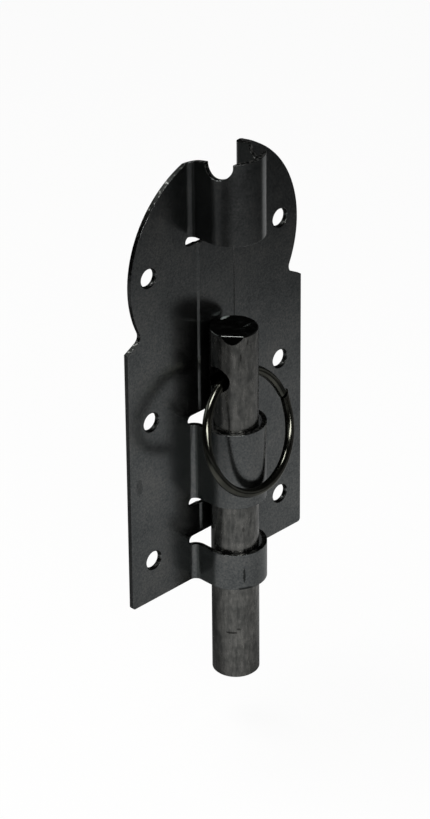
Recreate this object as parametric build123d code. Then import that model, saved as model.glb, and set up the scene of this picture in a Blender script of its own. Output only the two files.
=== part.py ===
from build123d import *

import os
from math import asin, degrees, radians, sqrt, tan

# Pressed steel drop latch: plate with two guide straps and a notched keeper, round bolt, pull ring.
# Frame, in millimetres: the origin is the centre of the screw pattern on the plate's back face, +X is
# to the right seen from the front, the front faces -Y and the bolt runs along Z.

# Plate blank
sheet = 1.6
plate_width = 80.0
plate_foot = -67.0
shoulder_height = 28.0
shoulder_slope = 28.0
head_radius = 38.0
head_height = 50.0
waist_radius = 2.75
foot_corner_radius = 1.1

# Screw holes: rows of two, evenly pitched
screw_spacing = 60.0
screw_row_pitch = 52.0
screw_rows = 3
screw_hole_radius = 3.15
screw_rim_bevel = 0.35

# Bolt, the room it has in the straps and how far it lies to the left in it
bolt_radius = 8.0
bolt_length = 130.0
bolt_foot = -103.0
bolt_side_play = 1.1
bolt_side_lie = -0.6
bolt_front_play = 0.45
bolt_back_play = 0.2
bolt_top_round = 0.5
bolt_foot_chamfer = 0.4

# Facet that the shear left below the bolt's upper rim, turned to the left of the front
facet_depth = 1.0
facet_height = 2.8
facet_turn = 50.0

# Straps and keeper, pressed forward from the sheet to one section
root_bend_radius = 2.4
relief_height = 3.4
relief_end_margin = 0.4
lower_strap_height = 13.2
upper_strap_foot = -35.8
upper_strap_height = 27.6
keeper_foot = 60.2

# Keeper's arched top edge against the head's top, and its notches for the ring
keeper_front_rise = 0.7
keeper_arch_drop = 0.1
keeper_arch_depth = 8.6
notch_radius = 4.7
notch_depth = 12.4
notch_drop = 0.4

# Web behind the bolt, pressed slightly forward between the slots
web_press = 0.4
web_half_width = 8.65
web_side_draft = 0.9
web_foot_margin = 0.9

# Cross-hole in the bolt and the wire ring that hangs in it
cross_hole_radius = 4.5
cross_hole_height = 10.4
ring_wire_radius = 1.55
ring_radius = 20.3
ring_hang = 0.7
ring_turn = 5.3
ring_strap_gap = 0.35

# Ring's butt: an oblique cut between ends left straight, the longer of them standing out
ring_butt_angle = 76.0
ring_butt_skew = 24.0
ring_butt_gap = 1.0
ring_upper_end = 2.2
ring_lower_end = 5.4

# Sizes that follow from those above
front_face = -sheet
bolt_y = front_face - web_press - bolt_back_play - bolt_radius
channel_radius = bolt_radius + bolt_side_play
crown_radius = channel_radius + sheet
crown_y = bolt_y - bolt_front_play + bolt_side_play
crown_front = crown_y - crown_radius
root_half_width = crown_radius + root_bend_radius
root_y = front_face - root_bend_radius
lower_strap_top = plate_foot + lower_strap_height
upper_strap_top = upper_strap_foot + upper_strap_height
head_top = head_height + head_radius
keeper_top = head_top + keeper_front_rise
keeper_back_height = head_height + sqrt(head_radius**2 - root_half_width**2)
notch_height = head_top - notch_drop
pivot_height = cross_hole_height - ring_hang
ring_reach = bolt_y - crown_front + ring_wire_radius + ring_strap_gap
ring_lean = degrees(asin(ring_reach / (2 * ring_radius)))

# How far a cutting solid runs past what it cuts
clear = 2.0


def in_sheet(sketch):
    """Sheet of metal with a sketch's outline in X and Z, its back face at Y = 0."""
    return extrude(Plane.XZ * sketch, sheet, dir=(0, -1, 0))


def blank_outline():
    """Straight sides, shoulders that slope in to a rounded waist, and the round head."""
    half = plate_width / 2
    apex = shoulder_height + half * tan(radians(shoulder_slope))
    panel = Polygon(
        (-half, plate_foot), (half, plate_foot), (half, shoulder_height),
        (0, apex), (-half, shoulder_height), align=None,
    )
    outline = panel + Pos(0, head_height) * Circle(head_radius)
    waist = [v for v in outline.vertices() if shoulder_height + 1 < v.Y < head_height]
    outline = fillet(waist, waist_radius)
    feet = outline.vertices().group_by(Axis.Y)[0]
    return fillet(feet, foot_corner_radius)


def screw_holes():
    """Pattern of screw holes about the origin."""
    places = GridLocations(screw_spacing, screw_row_pitch, 2, screw_rows)
    return Sketch() + [place * Circle(screw_hole_radius) for place in places]


def relief_slots():
    """Round-ended slots along the edges of the pressed bands."""
    length = 2 * (root_half_width + relief_end_margin)
    half = relief_height / 2
    levels = [lower_strap_top + half, upper_strap_foot - half, upper_strap_top + half, keeper_foot - half]
    return Sketch() + [Pos(0, level) * SlotOverall(length, relief_height) for level in levels]


def band_windows():
    """Stretches of the flat sheet that became the two straps and the keeper."""
    spans = [
        (plate_foot - clear, lower_strap_top),
        (upper_strap_foot, upper_strap_top),
        (keeper_foot, head_top + clear),
    ]
    width = 2 * root_half_width
    return Sketch() + [Pos(0, (low + high) / 2) * Rectangle(width, high - low) for low, high in spans]


def channel_face(wall_radius, bend_radius):
    """One face of the pressed section: root bends, upright walls and the half-round crown."""
    return [
        CenterArc((root_half_width, root_y), bend_radius, 90, 90),
        Line((wall_radius, root_y), (wall_radius, crown_y)),
        CenterArc((0, crown_y), wall_radius, 0, -180),
        Line((-wall_radius, crown_y), (-wall_radius, root_y)),
        CenterArc((-root_half_width, root_y), bend_radius, 0, 90),
    ]


def pressed_band(low, high):
    """Strap between two heights, its roots flush with both faces of the flat sheet."""
    ends = [
        Line((side * root_half_width, 0), (side * root_half_width, front_face))
        for side in (-1, 1)
    ]
    inside = channel_face(channel_radius, root_bend_radius + sheet)
    outside = channel_face(crown_radius, root_bend_radius)
    return Pos(0, 0, low) * extrude(make_face(inside + outside + ends), high - low, dir=(0, 0, 1))


def keeper():
    """Top band, trimmed to its arched edge and notched through both walls."""
    band = pressed_band(keeper_foot, keeper_top + clear)
    arch = ThreePointArc(
        (0, keeper_back_height), (-keeper_arch_depth, head_top - keeper_arch_drop), (crown_front, keeper_top),
    )
    above = keeper_top + 2 * clear
    rim = Polyline(
        arch @ 1, (crown_front - clear, keeper_top), (crown_front - clear, above),
        (clear, above), (clear, keeper_back_height), arch @ 0,
    )
    mouth = Rectangle(2 * notch_radius, above - notch_height, align=(Align.CENTER, Align.MIN))
    notch = Pos(-notch_depth, notch_height) * (Circle(notch_radius) + mouth)
    cut = make_face([arch, rim]) + notch
    return band - extrude(Plane.YZ * cut, root_half_width + clear, both=True)


def web_block(low, high):
    """Shallow block with drafted sides, as deep as the web is pressed forward."""
    foot = web_half_width
    top = web_half_width - web_side_draft
    section = Polygon((-foot, 0), (foot, 0), (top, -web_press), (-top, -web_press), align=None)
    return Pos(0, 0, low) * extrude(section, high - low, dir=(0, 0, 1))


def plate():
    """Blank pierced with its holes and slots, with the bands and webs pressed from it."""
    body = in_sheet(blank_outline() - screw_holes() - relief_slots() - band_windows())
    rims = body.edges().filter_by(GeomType.CIRCLE).filter_by(
        lambda edge: abs(edge.radius - screw_hole_radius) < 1e-6
    ).group_by(Axis.Y)[0]
    body = chamfer(rims, screw_rim_bevel)
    webs = [
        (lower_strap_top + relief_height + web_foot_margin, upper_strap_foot - relief_height),
        (upper_strap_top + relief_height + web_foot_margin, keeper_foot - relief_height),
    ]
    for low, high in webs:
        press = web_block(low, high)
        body = body - press + Pos(0, front_face, 0) * press
    body += pressed_band(plate_foot, lower_strap_top)
    body += pressed_band(upper_strap_foot, upper_strap_top)
    body += keeper()
    return body


def bolt():
    """Sheared round bar with a chamfered foot, a sheared facet at the top and the cross-hole."""
    bar = Cylinder(bolt_radius, bolt_length, align=(Align.CENTER, Align.CENTER, Align.MIN))
    bar = chamfer(bar.edges().group_by(Axis.Z)[0], bolt_foot_chamfer)
    rim = facet_depth - bolt_radius
    facet = Polygon(
        (-bolt_radius, -facet_height), (rim, 0), (rim, clear),
        (-bolt_radius - clear, clear), (-bolt_radius - clear, -facet_height), align=None,
    )
    facet = extrude(Plane.YZ * facet, bolt_radius, both=True)
    bar -= Pos(0, 0, bolt_length) * Rot(0, 0, -facet_turn) * facet
    bar = fillet(bar.edges().group_by(Axis.Z)[-1], bolt_top_round)
    hole = Rot(0, 90, 0) * Cylinder(cross_hole_radius, 4 * bolt_radius)
    bar -= Pos(0, 0, cross_hole_height - bolt_foot) * hole
    return Pos(bolt_side_lie, bolt_y, bolt_foot) * bar


def on_ring(angle):
    """Place on the ring's centre line, at an angle from the top, with its Z axis outwards."""
    return Pos(0, 0, -ring_radius) * Rot(0, angle, 0) * Pos(0, 0, ring_radius)


def butt_cut(side):
    """Block from one face of the butt's gap onwards, square to the skewed cut."""
    reach = ring_radius + clear
    block = Box(reach, reach, reach, align=(Align.MIN, Align.CENTER, Align.CENTER))
    turned = Rot(0, 0, 0 if side > 0 else 180)
    return on_ring(ring_butt_angle) * Rot(0, -ring_butt_skew, 0) * turned * Pos(-ring_butt_gap / 2, 0, 0) * block


def straight_end(angle, length, side):
    """End of the wire, straight from an angle on the ring and cut off at the butt."""
    wire = Cylinder(ring_wire_radius, length + clear, align=(Align.CENTER, Align.CENTER, Align.MIN))
    return on_ring(angle) * Rot(0, 90 * side, 0) * wire - butt_cut(side)


def pull_ring():
    """Wire ring open at its butt, leaning on the upper strap."""
    upper_angle = ring_butt_angle - degrees(ring_upper_end / ring_radius)
    lower_angle = ring_butt_angle + degrees(ring_lower_end / ring_radius)
    section = Plane.YZ * Circle(ring_wire_radius)
    back_round = Axis((0, 0, -ring_radius), (0, -1, 0))
    wire = on_ring(upper_angle) * revolve(section, back_round, 360 + upper_angle - lower_angle)
    wire += straight_end(upper_angle, ring_upper_end, 1)
    wire += straight_end(lower_angle, ring_lower_end, -1)
    return Pos(bolt_side_lie, bolt_y, pivot_height) * Rot(0, 0, ring_turn) * Rot(-ring_lean, 0, 0) * wire


os.makedirs("parts", exist_ok=True)
for name, make in (("plate", plate), ("bolt", bolt), ("pull_ring", pull_ring)):
    export_step(make(), f"parts/{name}.step")
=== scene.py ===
"""Looks of the drop latch: black-finished plate and bolt, black-nickel ring, white studio."""
import math

import bpy
from mathutils import Matrix, Vector


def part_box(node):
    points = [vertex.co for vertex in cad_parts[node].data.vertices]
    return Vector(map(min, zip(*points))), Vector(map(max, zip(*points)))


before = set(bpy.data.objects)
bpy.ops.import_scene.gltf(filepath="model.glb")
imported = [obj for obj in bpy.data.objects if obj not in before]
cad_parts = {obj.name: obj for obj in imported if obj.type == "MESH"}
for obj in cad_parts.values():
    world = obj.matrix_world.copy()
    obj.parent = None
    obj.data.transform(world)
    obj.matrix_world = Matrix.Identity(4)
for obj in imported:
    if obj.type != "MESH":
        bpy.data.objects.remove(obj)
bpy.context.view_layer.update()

MM = 0.001

# The photograph's frame and the camera that took it; an azimuth is 0 in front and 90 to the right
IMAGE_HEIGHT_PX = 819
FOCAL_PX = 3589.8
SENSOR_HEIGHT_MM = 24.0
CAMERA_AZIMUTH = -45.225
CAMERA_ELEVATION = 29.182
CAMERA_ROLL = -0.534
CAMERA_DISTANCE = 1177.6 * MM
CAMERA_TARGET = Vector((-0.892, -1.6, -6.933)) * MM

# Soft lamps up to the left, one before and one behind the plate: place in degrees and metres, size in
# metres, turn about the lamp's own axis in degrees, and radiance
SOFTBOXES = {
    "front_softbox": dict(
        azimuth=-29, elevation=23, distance=1.0, size=(0.78, 0.22), roll=-30, radiance=8.5,
    ),
    "top_softbox": dict(
        azimuth=-130, elevation=68, distance=0.75, size=(0.7, 0.3), roll=30, radiance=9.6,
    ),
}

# Glow low in the dark room: its direction, cosines of the angles that it spans, and greys round and in it
GLOW_AZIMUTH = 55
GLOW_ELEVATION = -12
GLOW_RIM = 0.8
GLOW_CORE = 0.97
ROOM_GREY = 0.02
GLOW_GREY = 0.24

# Table below the bolt, and the share of plain white in what the camera sees of it. The finishes mirror the
# dark table, so their colours are written lighter than they show.
FLOOR_HEIGHT = -125 * MM
FLOOR_HALF_WIDTH = 1600 * MM
FLOOR_WHITE_SHARE = 0.94
EDGE_BLUR = 25 * MM

# Pool of light on the table before the plate: greys at distances from its centre, in millimetres
POOL_CENTRE = Vector((35, -70, 0)) * MM
POOL_RADIUS = 700
POOL_GREYS = [
    (0, 0.43), (133, 0.43), (183, 0.4), (220, 0.31), (253, 0.215), (299, 0.14),
    (349, 0.06), (415, 0.05), (469, 0.06), (602, 0.3), (POOL_RADIUS, 0.34),
]

# Where the pool is dimmed: behind the plate, in the object's own shade and on a dark patch to the left
DIMMING = 0.6
BACK_EDGE = 45 * MM
SHADE_CENTRE = Vector((5, 22, 0)) * MM
SHADE_RADIUS = 62 * MM
DARK_SIDES = (-750, -235)
DARK_ENDS = (-340, -60)

# Paler patches of the table: sides and ends in millimetres, some of them beyond its border, and greys
BEYOND = 1700
PALE_PATCHES = {
    "floor behind": ((-BEYOND, BEYOND), (90, BEYOND), 0.14),
    "far floor behind": ((60, BEYOND), (270, BEYOND), 0.75),
    "right card": ((345, 500), (-120, 130), 0.75),
    "left card": ((-400, -300), (20, 110), 0.2),
    "front card": ((-240, -120), (-250, -115), 0.4),
}

# Sizes of the finishes' patterns; the grain and the streaks are drawn coarser than real ones of 0.2 mm,
# which would not show
CLOUD_SIZE = 16.67 * MM
GRAIN_SIZE = 0.7143 * MM
TORN_SIZE = 1.111 * MM
STREAK_WIDTH = 1.111 * MM
STREAK_STRETCH = 4
BAR_CLOUD_SIZE = 3.846 * MM
DENT_SIZE = 3.846 * MM
DENT_DEPTH = 0.5 * MM
WIRE_CLOUD_SIZE = 6.25 * MM
BURR_RADIUS = 0.28 * MM

# Zones of the sheet, each with the stretch over which it starts: the blank's side faces, the metal drawn
# forward, the bands' upright walls and the web's right crease. The walls and the crease are painted
# darker, as shade.
SIDE_START = [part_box("plate")[1].x - inset * MM for inset in (0.04, 0.02)]
DRAWN_START = (-3 * MM, -6 * MM)
SHADED_WALL_FRONT = (-11.2 * MM, -9.8 * MM)
SHADED_WALL_BACK = (-2.4 * MM, -2.7 * MM)
SHADED_CREASE_LEFT = (7.6 * MM, 7.7 * MM)
SHADED_CREASE_RIGHT = (8.8 * MM, 8.7 * MM)

# Slopes, as a part of the face's normal, between which the sheet's edges and the painted shade on its
# crease start
EDGE_SLOPE = (0.05, 0.2)
SHADED_CREASE_SLOPE = (0.1, 0.3)

# The same for the bar's sheared end, the flat top and the facet on it, its flank and its back; the end,
# the facet, the flank and the back carry painted shade
END_SLOPE = (0.1, 0.25)
TOP_SLOPE = (0.95, 0.99)
SHADED_FACET_SLOPE = (0.5, 0.4)
SHADED_FLANK_SLOPE = (-0.45, -0.1)
SHADED_BACK_SLOPE = (0.1, 0.5)

# Scuffs: centre and half sizes in millimetres, and how dark
SHEET_MARKS = [
    ((-5.2, -18.9, -61.6), (0.45, 1.5, 3.4), 0.8),
    ((-5.0, -19.0, -66.7), (3.6, 2.6, 0.6), 0.8),
    ((-8.4, -17.0, -52.4), (0.6, 0.8, 0.6), 0.6),
    ((-36.0, -1.6, -22.0), (1.6, 0.5, 3.5), 0.35),
]
BAR_MARKS = [
    ((-7.2, -14.8, -85.1), (2.4, 2.4, 0.5), 0.8),
    ((-5.4, -16.2, -83.7), (0.7, 1.0, 0.5), 0.7),
    ((-4.6, -17.0, 19.5), (0.35, 0.6, 1.8), 0.7),
    ((-2.2, -18.0, 24.6), (0.4, 0.6, 1.4), 0.6),
    ((-4.0, -17.4, -45.0), (0.5, 0.8, 1.2), 0.5),
]

# Torn lips on the bar's sheared end, raised by bump and painted near white as a highlight: centre and half
# sizes in millimetres, and how high and bright
END_LIPS_AND_HIGHLIGHTS = [
    ((1.9, -3.75, 27.0), (2.4, 0.8, 2.0), 1.0),
    ((2.9, -12.8, 27.0), (2.0, 0.5, 2.0), 0.4),
]
LIP_HEIGHT = 0.15 * MM

# How ragged the outline of a mark is, and the reach from its centre over which it starts
RAG_SIZE = 0.7143 * MM
RAG_SHARE = 0.8
MARK_REACH = (1.45, 1.0)


def linear(hex_colour):
    """sRGB hex colour as linear red, green, blue and alpha."""
    channels = [int(hex_colour[i:i + 2], 16) / 255 for i in (1, 3, 5)]
    return [c / 12.92 if c <= 0.04045 else ((c + 0.055) / 1.055) ** 2.4 for c in channels] + [1.0]


def grey(level):
    """Grey of a linear level, with alpha."""
    return (level, level, level, 1.0)


def direction(azimuth, elevation):
    """Direction from the object: azimuth 0 is in front of it, 90 to its right and 180 behind it."""
    a, e = math.radians(azimuth), math.radians(elevation)
    return Vector((math.sin(a) * math.cos(e), -math.cos(a) * math.cos(e), math.sin(e)))


def add(tree, kind, inputs=None, **settings):
    """Adds a node with its settings. An input takes a value, a socket or a node's first open output."""
    node = tree.nodes.new(kind)
    for name, value in settings.items():
        setattr(node, name, value)
    for name, value in (inputs or {}).items():
        if isinstance(value, bpy.types.Node):
            value = next(output for output in value.outputs if output.enabled)
        if isinstance(value, bpy.types.NodeSocket):
            tree.links.new(value, node.inputs[name])
        else:
            node.inputs[name].default_value = value
    return node


def new_material(name):
    """Material with an empty node tree; returns both."""
    material = bpy.data.materials.new(name)
    material.use_nodes = True
    material.node_tree.nodes.clear()
    return material, material.node_tree


def set_stops(node, stops):
    """Gives a colour ramp its (position, colour) stops."""
    elements = node.color_ramp.elements
    while len(elements) < len(stops):
        elements.new(0.5)
    for element, (position, colour) in zip(elements, stops):
        element.position = position
        element.color = colour


def set_curve(node, points):
    """Gives a curve node its points, smooth between them."""
    curve = node.mapping.curves[0]
    while len(curve.points) < len(points):
        curve.points.new(0.5, 0.5)
    for point, place in zip(curve.points, points):
        point.location = place
    node.mapping.update()


def begin(tree, value, stretch, most=1.0):
    """0 before a stretch of a value and the most after it, smooth between; a stretch may run backwards."""
    return add(tree, "ShaderNodeMapRange", {
        "Value": value, "From Min": stretch[0], "From Max": stretch[1], "To Max": most,
    }, interpolation_type="SMOOTHSTEP")


def between(tree, value, first, last, most=1.0):
    """The most between two stretches of a value, the last of which runs backwards, and 0 beyond them."""
    return add(tree, "ShaderNodeMath", {
        0: begin(tree, value, first, most=most), 1: begin(tree, value, last),
    }, operation="MULTIPLY")


def cover(tree, colour, layers):
    """Colour with others laid over it in turn, each on its own share of the surface."""
    for share, layer in layers:
        colour = add(tree, "ShaderNodeMix", {"Factor": share, 6: colour, 7: layer}, data_type="RGBA")
    return colour


def smudge(tree, place, mark):
    """Share of an egg-shaped mark at a place, with a ragged outline."""
    centre, half_sizes, depth = mark
    rag = add(tree, "ShaderNodeTexNoise", {"Vector": place, "Scale": 1 / RAG_SIZE, "Detail": 2.0})
    away = add(tree, "ShaderNodeVectorMath", {0: place, 1: Vector(centre) * MM}, operation="SUBTRACT")
    scaled = add(tree, "ShaderNodeVectorMath", {0: away, 1: Vector(half_sizes) * MM}, operation="DIVIDE")
    reach = add(tree, "ShaderNodeVectorMath", {0: scaled}, operation="LENGTH")
    ragged = add(tree, "ShaderNodeMath", {0: rag, 1: RAG_SHARE, 2: reach}, operation="MULTIPLY_ADD")
    return begin(tree, ragged, MARK_REACH, most=depth)


def black_sheet():
    """Cold-rolled steel sheet under a thin black finish: dark metal, softly glossy, cloudy where the bath
    ran unevenly.

    The sheared edges are rougher and darker than the rolled faces, with a few bright torn specks, more of
    them where the sheet was drawn forward. The bands' upright walls and the web's right crease are
    painted darker, as shade.
    """
    material, tree = new_material("black_finished_sheet")
    place = add(tree, "ShaderNodeTexCoord").outputs["Object"]
    spot = add(tree, "ShaderNodeSeparateXYZ", {"Vector": place})
    normal = add(tree, "ShaderNodeNewGeometry").outputs["True Normal"]
    facing = add(tree, "ShaderNodeSeparateXYZ", {"Vector": normal})

    cloud = add(tree, "ShaderNodeTexNoise", {
        "Vector": place, "Scale": 1 / CLOUD_SIZE, "Detail": 4.0, "Roughness": 0.6,
    })
    grain = add(tree, "ShaderNodeTexNoise", {
        "Vector": place, "Scale": 1 / GRAIN_SIZE, "Detail": 2.0, "Roughness": 0.6,
    })
    both = add(tree, "ShaderNodeMix", {"Factor": 0.6, 2: cloud, 3: grain})
    rolled = add(tree, "ShaderNodeValToRGB", {"Fac": both})
    set_stops(rolled, [(0.35, linear("#626566")), (0.5, linear("#777a7a")), (0.65, linear("#8b8b89"))])

    torn = add(tree, "ShaderNodeTexNoise", {"Vector": place, "Scale": 1 / TORN_SIZE, "Detail": 3.0})
    more_torn = begin(tree, spot.outputs["Y"], DRAWN_START, most=0.13)
    torn = add(tree, "ShaderNodeMath", {0: torn, 1: more_torn}, operation="ADD")
    sheared = add(tree, "ShaderNodeValToRGB", {"Fac": torn})
    set_stops(sheared, [(0.58, linear("#1e1f1e")), (0.76, linear("#8a8b88"))])

    slope = add(tree, "ShaderNodeMath", {0: facing.outputs["Z"]}, operation="ABSOLUTE")
    aside = add(tree, "ShaderNodeMath", {0: spot.outputs["X"]}, operation="ABSOLUTE")
    edge = add(tree, "ShaderNodeMath", {
        0: begin(tree, slope, EDGE_SLOPE), 1: begin(tree, aside, SIDE_START, most=0.4),
    }, operation="MAXIMUM")
    # Painted shade: the bands' upright walls are written darker than the rolled faces
    wall_painted_shade = between(tree, spot.outputs["Y"], SHADED_WALL_FRONT, SHADED_WALL_BACK, most=0.6)
    # Painted shade: where the web's right crease turns sideways it is written darker
    crease_painted_shade = add(tree, "ShaderNodeMath", {
        0: between(tree, spot.outputs["X"], SHADED_CREASE_LEFT, SHADED_CREASE_RIGHT),
        1: begin(tree, facing.outputs["X"], SHADED_CREASE_SLOPE),
    }, operation="MULTIPLY")
    colour = cover(tree, rolled, [(wall_painted_shade, linear("#3a3f3c")), (crease_painted_shade, linear("#3f4241")), (edge, sheared)])
    colour = cover(tree, colour, [(smudge(tree, place, mark), linear("#262726")) for mark in SHEET_MARKS])

    rough = add(tree, "ShaderNodeMapRange", {
        "Value": cloud, "From Min": 0.3, "From Max": 0.7, "To Min": 0.2, "To Max": 0.26,
    })
    rough = add(tree, "ShaderNodeMix", {"Factor": edge, 2: rough, 3: 0.4})
    burr = add(tree, "ShaderNodeBevel", {"Radius": BURR_RADIUS}, samples=4)
    shader = add(tree, "ShaderNodeBsdfPrincipled", {
        "Base Color": colour, "Metallic": 1.0, "Roughness": rough, "Normal": burr,
    })
    add(tree, "ShaderNodeOutputMaterial", {"Surface": shader})
    return material


def black_bar():
    """Drawn round steel bar under the same finish: the drawing die's fine streaks show along it.

    The sheared end is burnished and uneven, so it is sharper in its reflections and dented. It is painted
    a little darker as shade, and so are the facet on it, the bar's flanks and its back. Two lips that tore
    instead are rough and raised, and painted near white as a highlight.
    """
    material, tree = new_material("black_finished_bar")
    place = add(tree, "ShaderNodeTexCoord").outputs["Object"]
    normal = add(tree, "ShaderNodeNewGeometry").outputs["True Normal"]
    facing = add(tree, "ShaderNodeSeparateXYZ", {"Vector": normal})

    along = add(tree, "ShaderNodeMapping", {"Vector": place, "Scale": (1, 1, 1 / STREAK_STRETCH)})
    streaks = add(tree, "ShaderNodeTexNoise", {
        "Vector": along, "Scale": 1 / STREAK_WIDTH, "Detail": 4.0, "Roughness": 0.7,
    })
    cloud = add(tree, "ShaderNodeTexNoise", {
        "Vector": place, "Scale": 1 / BAR_CLOUD_SIZE, "Detail": 5.0, "Roughness": 0.65,
    })
    both = add(tree, "ShaderNodeMix", {"Factor": 0.45, 2: streaks, 3: cloud})
    drawn = add(tree, "ShaderNodeValToRGB", {"Fac": both})
    set_stops(drawn, [(0.38, linear("#5f605e")), (0.5, linear("#7c7c79")), (0.62, linear("#979692"))])

    # Painted shade in part: the sheared end is written a little darker; its low roughness is the burnished
    # finish
    end_finish_and_shade = begin(tree, facing.outputs["Z"], END_SLOPE)
    top = begin(tree, facing.outputs["Z"], TOP_SLOPE)
    # Painted shade: the bar's flanks and back are written darker than its front
    flank_painted_shade = begin(tree, facing.outputs["Y"], SHADED_FLANK_SLOPE, most=0.3)
    # Painted shade: the bar's back is written darker still
    back = begin(tree, facing.outputs["Y"], SHADED_BACK_SLOPE, most=0.65)
    # Painted shade: the facet below the end's rim is written near black
    facet_painted_shade = between(tree, facing.outputs["Z"], END_SLOPE, SHADED_FACET_SLOPE)
    colour = cover(tree, drawn, [
        (end_finish_and_shade, linear("#6a6c6a")), (flank_painted_shade, linear("#2e302e")),
        (back, linear("#161716")), (facet_painted_shade, linear("#2c2d2c")),
    ])
    colour = cover(tree, colour, [(smudge(tree, place, mark), linear("#2a2a28")) for mark in BAR_MARKS])

    rough = add(tree, "ShaderNodeMapRange", {
        "Value": streaks, "From Min": 0.3, "From Max": 0.7, "To Min": 0.18, "To Max": 0.3,
    })
    rough = add(tree, "ShaderNodeMix", {"Factor": end_finish_and_shade, 2: rough, 3: 0.12})
    dents = add(tree, "ShaderNodeTexNoise", {"Vector": place, "Scale": 1 / DENT_SIZE, "Detail": 1.0})
    height = add(tree, "ShaderNodeMath", {0: dents, 1: DENT_DEPTH}, operation="MULTIPLY")
    # Each lip is raised by bump and painted near white as a highlight
    for mark in END_LIPS_AND_HIGHLIGHTS:
        lip_and_painted_highlight = add(tree, "ShaderNodeMath", {0: smudge(tree, place, mark), 1: top}, operation="MULTIPLY")
        colour = cover(tree, colour, [(lip_and_painted_highlight, linear("#e8f0ec"))])
        rough = add(tree, "ShaderNodeMix", {"Factor": lip_and_painted_highlight, 2: rough, 3: 0.7})
        height = add(tree, "ShaderNodeMath", {0: lip_and_painted_highlight, 1: LIP_HEIGHT, 2: height}, operation="MULTIPLY_ADD")
    bump = add(tree, "ShaderNodeBump", {"Height": height, "Strength": top, "Distance": 1.0})
    shader = add(tree, "ShaderNodeBsdfPrincipled", {
        "Base Color": colour, "Metallic": 1.0, "Roughness": rough, "Normal": bump,
    })
    add(tree, "ShaderNodeOutputMaterial", {"Surface": shader})
    return material


def black_wire():
    """Bright drawn steel wire under black nickel: mirror-like, brownish where the plating is thin."""
    material, tree = new_material("black_nickel_wire")
    place = add(tree, "ShaderNodeTexCoord").outputs["Object"]
    cloud = add(tree, "ShaderNodeTexNoise", {"Vector": place, "Scale": 1 / WIRE_CLOUD_SIZE, "Detail": 3.0})
    plating = add(tree, "ShaderNodeValToRGB", {"Fac": cloud})
    set_stops(plating, [(0.35, linear("#4b4c46")), (0.65, linear("#64645c"))])
    shader = add(tree, "ShaderNodeBsdfPrincipled", {
        "Base Color": plating, "Metallic": 1.0, "Roughness": 0.15,
    })
    add(tree, "ShaderNodeOutputMaterial", {"Surface": shader})
    return material


def give_material(node, material):
    """Puts one material on every slot of a CAD node's object."""
    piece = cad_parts[node]
    if not piece.material_slots:
        piece.data.materials.append(material)
    for slot in piece.material_slots:
        slot.link = "OBJECT"
        slot.material = material


def past(tree, value, edge, way=1):
    """0 before an edge on the table and 1 past it, or the other way round, fading across the blur."""
    return begin(tree, value, (edge - way * EDGE_BLUR, edge + way * EDGE_BLUR))


def patch(tree, spot, sides, ends):
    """1 on a rectangle of the table, given in millimetres, and 0 round it."""
    edges = [
        past(tree, spot.outputs["X"], sides[0] * MM), past(tree, spot.outputs["X"], sides[1] * MM, -1),
        past(tree, spot.outputs["Y"], ends[0] * MM), past(tree, spot.outputs["Y"], ends[1] * MM, -1),
    ]
    across = add(tree, "ShaderNodeMath", {0: edges[0], 1: edges[1]}, operation="MULTIPLY")
    along = add(tree, "ShaderNodeMath", {0: edges[2], 1: edges[3]}, operation="MULTIPLY")
    return add(tree, "ShaderNodeMath", {0: across, 1: along}, operation="MULTIPLY")


def distance(tree, place, centre):
    """Distance from a point of the table, measured flat."""
    away = add(tree, "ShaderNodeVectorMath", {0: place, 1: centre}, operation="SUBTRACT")
    flat = add(tree, "ShaderNodeVectorMath", {0: away, 1: (1, 1, 0)}, operation="MULTIPLY")
    return add(tree, "ShaderNodeVectorMath", {0: flat}, operation="LENGTH")


def table_grey(tree, place):
    """Grey of the table at a place: the pool with its dimmed parts, or a patch where that is paler."""
    spot = add(tree, "ShaderNodeSeparateXYZ", {"Vector": place})
    share = add(tree, "ShaderNodeMath", {
        0: distance(tree, place, POOL_CENTRE), 1: POOL_RADIUS * MM,
    }, operation="DIVIDE")
    level = add(tree, "ShaderNodeFloatCurve", {"Value": share})
    set_curve(level, [(reach / POOL_RADIUS, pool_grey) for reach, pool_grey in POOL_GREYS])

    behind = past(tree, spot.outputs["Y"], BACK_EDGE)
    shade = past(tree, distance(tree, place, SHADE_CENTRE), SHADE_RADIUS, -1)
    dark = patch(tree, spot, DARK_SIDES, DARK_ENDS)
    shade = add(tree, "ShaderNodeMath", {0: shade, 1: dark}, operation="MAXIMUM")
    for dimmed in (behind, shade):
        left = add(tree, "ShaderNodeMath", {0: dimmed, 1: -DIMMING, 2: 1.0}, operation="MULTIPLY_ADD")
        level = add(tree, "ShaderNodeMath", {0: level, 1: left}, operation="MULTIPLY")

    for sides, ends, patch_grey in PALE_PATCHES.values():
        pale = add(tree, "ShaderNodeMath", {
            0: patch(tree, spot, sides, ends), 1: patch_grey,
        }, operation="MULTIPLY")
        level = add(tree, "ShaderNodeMath", {0: level, 1: pale}, operation="MAXIMUM")
    return level


def floor_material():
    """Matt table: nearly white to the camera, and to every other ray dark, with its pool and patches."""
    material, tree = new_material("pale_floor")
    place = add(tree, "ShaderNodeTexCoord").outputs["Object"]
    lit = add(tree, "ShaderNodeBsdfDiffuse", {"Color": table_grey(tree, place)})
    paper = add(tree, "ShaderNodeBsdfDiffuse", {"Color": linear("#f6f5f2")})
    white = add(tree, "ShaderNodeEmission", {"Color": grey(1), "Strength": 1.0})
    seen = add(tree, "ShaderNodeMixShader", {0: FLOOR_WHITE_SHARE, 1: paper, 2: white})
    camera_ray = add(tree, "ShaderNodeLightPath").outputs["Is Camera Ray"]
    surface = add(tree, "ShaderNodeMixShader", {0: camera_ray, 1: lit, 2: seen})
    add(tree, "ShaderNodeOutputMaterial", {"Surface": surface})
    return material


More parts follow.
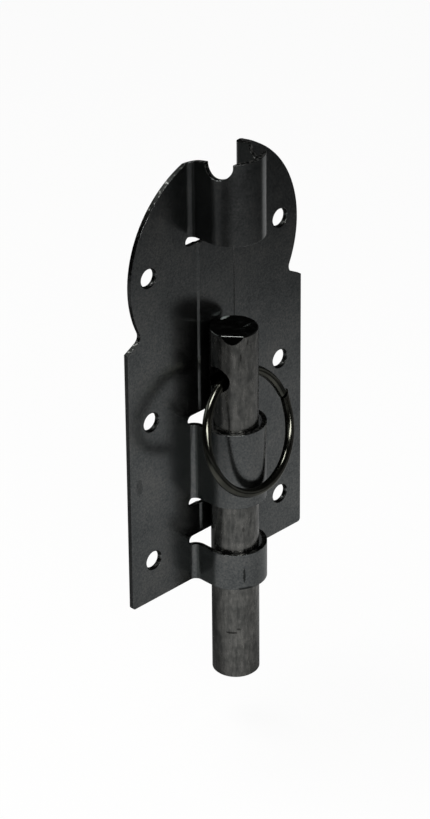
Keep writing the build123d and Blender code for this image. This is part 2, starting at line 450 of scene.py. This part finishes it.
def floor():
    """Flat square below the object."""
    w = FLOOR_HALF_WIDTH
    corners = [(x, y, FLOOR_HEIGHT) for x, y in ((-w, -w), (w, -w), (w, w), (-w, w))]
    mesh = bpy.data.meshes.new("floor")
    mesh.from_pydata(corners, [], [(0, 1, 2, 3)])
    mesh.materials.append(floor_material())
    item = bpy.data.objects.new("floor", mesh)
    bpy.context.scene.collection.objects.link(item)


def room():
    """Room round the table: plain white to the camera, and dark with one low glow to every other ray."""
    world = bpy.data.worlds.new("studio")
    bpy.context.scene.world = world
    world.use_nodes = True
    tree = world.node_tree
    tree.nodes.clear()
    way = add(tree, "ShaderNodeTexCoord").outputs["Generated"]
    nearness = add(tree, "ShaderNodeVectorMath", {
        0: way, 1: direction(GLOW_AZIMUTH, GLOW_ELEVATION),
    }, operation="DOT_PRODUCT")
    glow = add(tree, "ShaderNodeValToRGB", {"Fac": nearness})
    set_stops(glow, [(GLOW_RIM, grey(ROOM_GREY)), (GLOW_CORE, grey(GLOW_GREY))])
    dark = add(tree, "ShaderNodeBackground", {"Color": glow, "Strength": 1.0})
    white = add(tree, "ShaderNodeBackground", {"Color": grey(1), "Strength": 1.0})
    camera_ray = add(tree, "ShaderNodeLightPath").outputs["Is Camera Ray"]
    surface = add(tree, "ShaderNodeMixShader", {0: camera_ray, 1: dark, 2: white})
    add(tree, "ShaderNodeOutputWorld", {"Surface": surface})


def softbox(name, azimuth, elevation, distance, size, roll, radiance):
    """Rectangular soft lamp that faces the object; its power gives the face the radiance asked for."""
    data = bpy.data.lights.new(name, "AREA")
    data.shape = "RECTANGLE"
    data.size, data.size_y = size
    data.energy = radiance * math.pi * size[0] * size[1]
    item = bpy.data.objects.new(name, data)
    bpy.context.scene.collection.objects.link(item)
    away = direction(azimuth, elevation)
    turn = away.to_track_quat("Z", "Y").to_matrix() @ Matrix.Rotation(math.radians(roll), 3, "Z")
    item.matrix_world = Matrix.Translation(away * distance) @ turn.to_4x4()


def camera():
    """Camera on its direction from the target, rolled by the small tilt of the photograph."""
    azimuth = math.radians(CAMERA_AZIMUTH)
    roll = math.radians(CAMERA_ROLL)
    back = direction(CAMERA_AZIMUTH, CAMERA_ELEVATION)
    right = Vector((math.cos(azimuth), math.sin(azimuth), 0))
    up = back.cross(right)
    tilted_right = right * math.cos(roll) + up * math.sin(roll)
    tilted_up = up * math.cos(roll) - right * math.sin(roll)
    data = bpy.data.cameras.new("camera")
    data.sensor_fit = "VERTICAL"
    data.sensor_height = SENSOR_HEIGHT_MM
    data.lens = FOCAL_PX * SENSOR_HEIGHT_MM / IMAGE_HEIGHT_PX
    data.clip_start = 0.01
    data.clip_end = 20
    item = bpy.data.objects.new("camera", data)
    bpy.context.scene.collection.objects.link(item)
    turn = Matrix((tilted_right, tilted_up, back)).transposed().to_4x4()
    item.matrix_world = Matrix.Translation(CAMERA_TARGET + back * CAMERA_DISTANCE) @ turn
    bpy.context.scene.camera = item


bpy.context.scene.view_settings.view_transform = "Standard"
room()
for name, setup in SOFTBOXES.items():
    softbox(name, **setup)
floor()
camera()
give_material("plate", black_sheet())
give_material("bolt", black_bar())
give_material("pull_ring", black_wire())
